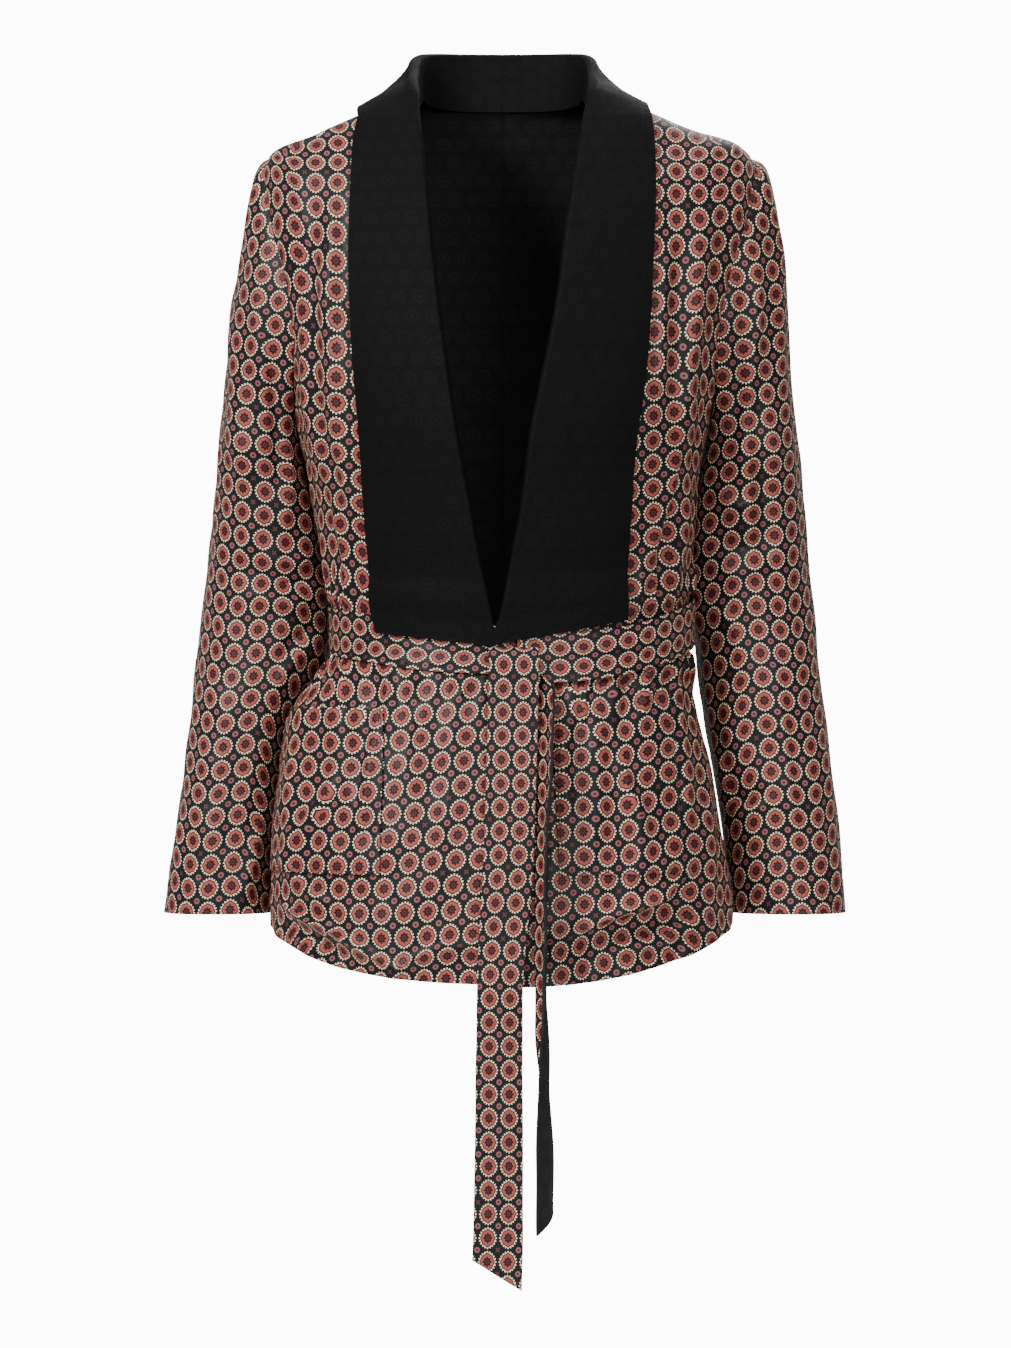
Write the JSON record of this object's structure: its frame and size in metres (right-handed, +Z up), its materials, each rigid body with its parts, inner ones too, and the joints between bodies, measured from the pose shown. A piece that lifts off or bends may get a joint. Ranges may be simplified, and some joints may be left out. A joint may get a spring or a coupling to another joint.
{
  "type": "smoking jacket",
  "caption": "Hip-length smoking jacket with a wide shawl collar, set-in sleeves, patch pockets and a tie belt knotted in front, in the hollow form of a worn garment.",
  "frame": {"origin": "middle of the neckline, level with the neck points of the shoulder seams", "axes": "+Z up, -Y the jacket's front, +X the wearer's left"},
  "size_m": [0.555, 0.3083, 0.9916],
  "materials": {
    "printed_satin": "dark satin with a small repeating medallion print",
    "black_jacquard": "black cloth with a faint tone-on-tone weave",
    "black_lining": "black lining with a faint tone-on-tone weave"
  },
  "bodies": {
    "root": {"front_right": "printed_satin", "front_left": "printed_satin", "back": "printed_satin", "sleeve_right": "printed_satin", "sleeve_left": "printed_satin", "collar_right": "black_jacquard", "collar_left": "black_jacquard", "lining_right": "black_lining", "lining_left": "black_lining", "pocket_right": "printed_satin", "pocket_left": "printed_satin", "belt_waist": "printed_satin", "belt_knot": "printed_satin", "belt_tail_front": "printed_satin", "belt_tail_side": "printed_satin"}
  },
  "joints": []
}
